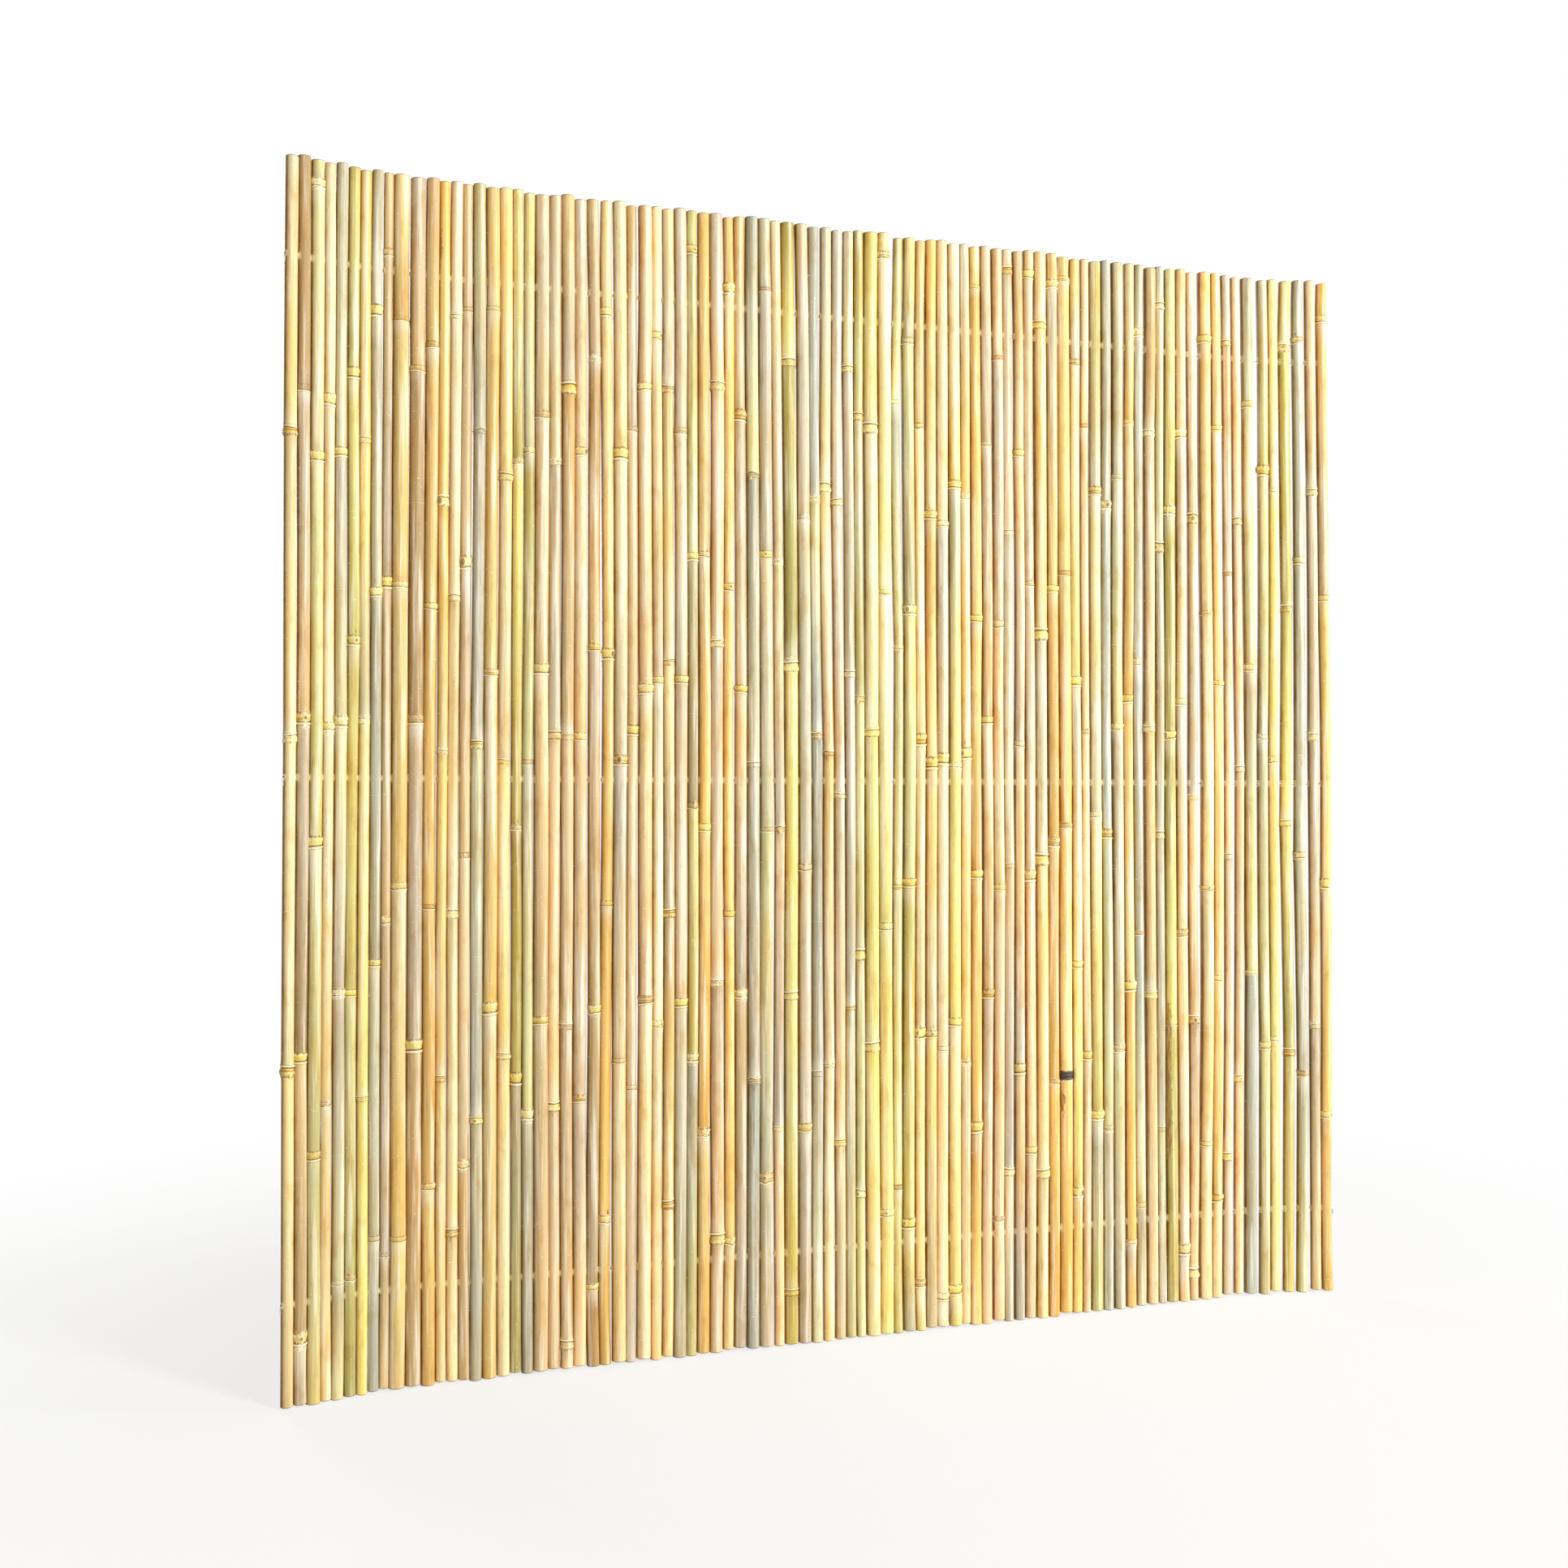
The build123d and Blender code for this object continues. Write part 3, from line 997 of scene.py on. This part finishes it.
def build_pole(piece, culm, number):
    """Adds the whole pole to its piece: skin, holes, sawn ends and stubs."""
    draw = random.Random(number)
    to_right = number / (len(every_culm) - 1)
    sideways = BOW_SIDEWAYS[0] + (BOW_SIDEWAYS[1] - BOW_SIDEWAYS[0]) * to_right ** 2
    fullness = 1 + THICKER_AT_LEFT * (1 - to_right ** 2) + draw.uniform(0, THICKER)
    depth = draw.uniform(*DEPTH_STEP)
    skin = Skin(culm, fullness, sideways, depth, draw)
    if number == MOULDY_POLE:
        grow_mould(skin)
    hole_step = float(culm.radius(culm.holes[0][2])) * math.tau / COLUMNS
    rows = skin.row_heights(hole_step)[:, None]
    shade = SHADE_AT_LEFT + (1 - SHADE_AT_LEFT) * to_right
    colours = row_tints(POLE_TINTS[number], rows, skin, draw) * shade
    marks = skin.marks(rows, ANGLES[None])
    if number in SHEATHED_POLES:
        marks["stain"] = sheath_strip(rows, culm, *SHEATHED_POLES[number])
    grid = piece.add_points(skin.points(rows, ANGLES[None]), colours, **marks)

    filled = np.zeros((len(rows) - 1, COLUMNS), bool)
    for hole in culm.holes:
        row = int(np.abs(rows[:, 0] - hole[2]).argmin())
        for column in drill_through(piece, skin, grid, row, hole, colours[row], draw):
            patch = (np.arange(-PATCH, PATCH) + column) % COLUMNS
            filled[row - PATCH:row + PATCH, patch] = True
    corners = [grid[:-1], np.roll(grid[:-1], -1, 1), np.roll(grid[1:], -1, 1), grid[1:]]
    piece.faces += np.stack(corners, axis=-1)[~filled].tolist()

    saw_end(piece, skin, grid[0], 1, colours[0], draw)
    saw_end(piece, skin, grid[-1], -1, colours[-1], draw)
    for node in skin.nodes:
        looks_to_front = -math.sin(node.facing + culm.heading) > STUB_FRONT
        off_the_curl = skin.middle(node.height)[1] > STUB_NEAREST
        if looks_to_front and off_the_curl and draw.random() < STUB_CHANCE:
            add_stub(piece, skin, node, colours[-1, 0], draw)


number = 0
pieces = []
for node_name in POLE_NODES:
    piece = Piece()
    for culm in culms[node_name]:
        build_pole(piece, culm, number)
        number += 1
    made = piece.make_object(node_name + "_bamboo", bamboo)
    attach(made, BODY)
    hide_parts(node_name)
    pieces.append(made)
print("built", number, "poles with", sum(len(piece.data.polygons) for piece in pieces), "faces")

# %% [markdown]
# ## The wires
# Each wire runs from hole to hole in a soft line: it was pushed through by hand and kept small
# waves from its coil. Outside the two end poles it is bent down, so that it can't slip back. A
# Blender curve with a round bevel gives the wire, and it is turned into a mesh at once.

# %% Threading
WIRE_ROUNDNESS = 3
WIRE_STEPS = 3
WIRE_PLAY = 0.35 * MM
TAIL_BEND = 2.5 * MM
BEND_SHARE = 0.3
TAIL_LEAN = 0.4 * MM
WIRE_SEED = 7


def wire_route(node_name, draw):
    """The wire's thickness, and its points from the left tail's tip to the right one's."""
    corners = solids_of(node_name)[0]
    tips = levels_of(corners)[0]
    left_corners = tips[tips[:, 0] < 0]
    left_tip = left_corners.mean(axis=0)
    right_tip = tips[tips[:, 0] > 0].mean(axis=0)
    radius = np.linalg.norm(left_corners - left_tip, axis=1).mean() / CORNER_SHARE
    row = corners[-1][2] - radius

    def tail(tip, inward):
        """The points of one tail, from its tip up to the bend."""
        return [
            (tip[0], tip[1], tip[2]),
            (tip[0] - TAIL_LEAN * inward, tip[1], (tip[2] + row) / 2),
            (tip[0], tip[1], row - TAIL_BEND),
            (tip[0] + BEND_SHARE * TAIL_BEND * inward, tip[1], row - BEND_SHARE * TAIL_BEND),
        ]

    holes = [min(culm.holes, key=lambda hole: abs(hole[2] - row)) for culm in every_culm]
    middle = []
    for before, hole in zip([None, *holes], holes):
        if before is not None:
            wave = np.array((0, draw.uniform(-1, 1), draw.uniform(-1, 1))) * WIRE_PLAY
            middle.append(tuple((before + hole) / 2 + wave))
        y = hole[1] + draw.uniform(-1, 1) * WIRE_PLAY / 2
        z = row + draw.uniform(-1, 1) * WIRE_PLAY
        middle.append((hole[0], y, z))
    return radius, tail(left_tip, 1) + middle + tail(right_tip, -1)[::-1]


def make_wire(node_name, draw):
    """One wire as a mesh, drawn along its route."""
    radius, route = wire_route(node_name, draw)
    curve = bpy.data.curves.new(node_name, "CURVE")
    curve.dimensions = "3D"
    curve.bevel_depth = radius
    curve.bevel_resolution = WIRE_ROUNDNESS
    curve.use_fill_caps = True
    line = curve.splines.new("NURBS")
    line.points.add(len(route) - 1)
    for point, place_on_route in zip(line.points, route):
        point.co = (*place_on_route, 1)
    line.order_u = 3
    line.use_endpoint_u = True
    line.resolution_u = WIRE_STEPS
    holder = add_object(node_name + "_curve", curve)
    bpy.context.view_layer.update()
    evaluated = holder.evaluated_get(bpy.context.evaluated_depsgraph_get())
    mesh = bpy.data.meshes.new_from_object(evaluated)
    bpy.data.objects.remove(holder)
    mesh.materials.clear()
    mesh.materials.append(zinc)
    mesh.shade_smooth()
    return add_object(node_name + "_drawn", mesh)


wire_draw = random.Random(WIRE_SEED)
for node_name in WIRE_NODES:
    made = make_wire(node_name, wire_draw)
    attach(made, BODY)
    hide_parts(node_name)
    print(made.name, len(made.data.polygons), "faces")

# %% [markdown]
# ## Floor, background and light
# The photograph is a cut-out on white. A white floor keeps a soft shadow. Rays from the camera see
# the floor mostly as plain white, so it meets the white background without an edge, while the light
# that it sends back to the bamboo stays that of a real floor.

# %% Stage and lamps
FLOOR_SIZE = 40.0
FLOOR_GREY = (0.86, 0.86, 0.86)
WHITE = (1, 1, 1, 1)
FLOOR_SHADOW = 0.3
SHADOW_CORE = 0.6
SHADOW_REACH = 2.5
SKY = 0.26
SKY_TINT = (1.0, 0.9, 0.74)
# Each lamp's shape, width, height, power and place
LAMPS = {
    "key": ("DISK", 1.6, 1.6, 332.0, (2.6, -4.9, 3.0)),
    "strip": ("RECTANGLE", 0.5, 3.0, 140.0, (4.6, -1.9, 1.1)),
    "back": ("DISK", 2.5, 2.5, 110.0, (-2.2, 4.6, 2.6)),
}
FENCE_MIDDLE = Vector((0, 0, 0.9))


def seen_directly(start):
    """1 for rays that come from the camera, a mirror or glass."""
    camera_ray, glossy_ray, clear_ray = [
        start.node("ShaderNodeLightPath", output=name)
        for name in ("Is Camera Ray", "Is Glossy Ray", "Is Transmission Ray")
    ]
    return start.math("MAXIMUM", camera_ray + glossy_ray, clear_ray)


floor_material, floor_start = new_material("floor")
floor_diffuse = floor_start.node("ShaderNodeBsdfDiffuse", None, {"Color": rgba(FLOOR_GREY)})
floor_white = floor_start.node("ShaderNodeEmission", None, {"Color": WHITE, "Strength": 1.0})
floor_place = floor_start.node("ShaderNodeTexCoord", output="Object")
length_of = {"operation": "LENGTH"}
from_fence = floor_start.node("ShaderNodeVectorMath", length_of, {0: floor_place}, output="Value")
shadow_share = FLOOR_SHADOW * from_fence.fade(SHADOW_REACH, SHADOW_CORE)
floor_share = seen_directly(floor_start) * (1 - shadow_share)
floor_shaders = {0: floor_share, 1: floor_diffuse, 2: floor_white}
floor_mix = floor_start.node("ShaderNodeMixShader", None, floor_shaders)
finish_material(floor_start, floor_mix)

floor_mesh = bpy.data.meshes.new("floor")
half = FLOOR_SIZE / 2
floor_corners = [(-half, -half, 0), (half, -half, 0), (half, half, 0), (-half, half, 0)]
floor_mesh.from_pydata(floor_corners, [], [(0, 1, 2, 3)])
floor_mesh.materials.append(floor_material)
floor = add_object("floor", floor_mesh)

world = bpy.data.worlds.new("world")
bpy.context.scene.world = world
world.use_nodes = True
world.node_tree.nodes.clear()
sky_start = Socket(world.node_tree)
sky_light = sky_start.node("ShaderNodeBackground", None, {"Color": rgba(SKY_TINT), "Strength": SKY})
sky_white = sky_start.node("ShaderNodeBackground", None, {"Color": WHITE, "Strength": 1.0})
sky_shaders = {0: seen_directly(sky_start), 1: sky_light, 2: sky_white}
sky = sky_start.node("ShaderNodeMixShader", None, sky_shaders)
sky_output = world.node_tree.nodes.new("ShaderNodeOutputWorld")
world.node_tree.links.new(sky.output, sky_output.inputs["Surface"])

for name, (shape, width, height, power, where) in LAMPS.items():
    lamp_data = bpy.data.lights.new(name, "AREA")
    lamp_data.shape = shape
    lamp_data.size = width
    lamp_data.size_y = height
    lamp_data.energy = power
    lamp = add_object(name, lamp_data)
    lamp.location = where
    lamp.rotation_euler = (FENCE_MIDDLE - Vector(where)).to_track_quat("-Z", "Y").to_euler()
bpy.context.scene.view_settings.view_transform = "Standard"
print("white floor and surroundings; lamps at the right front, at the right and behind")
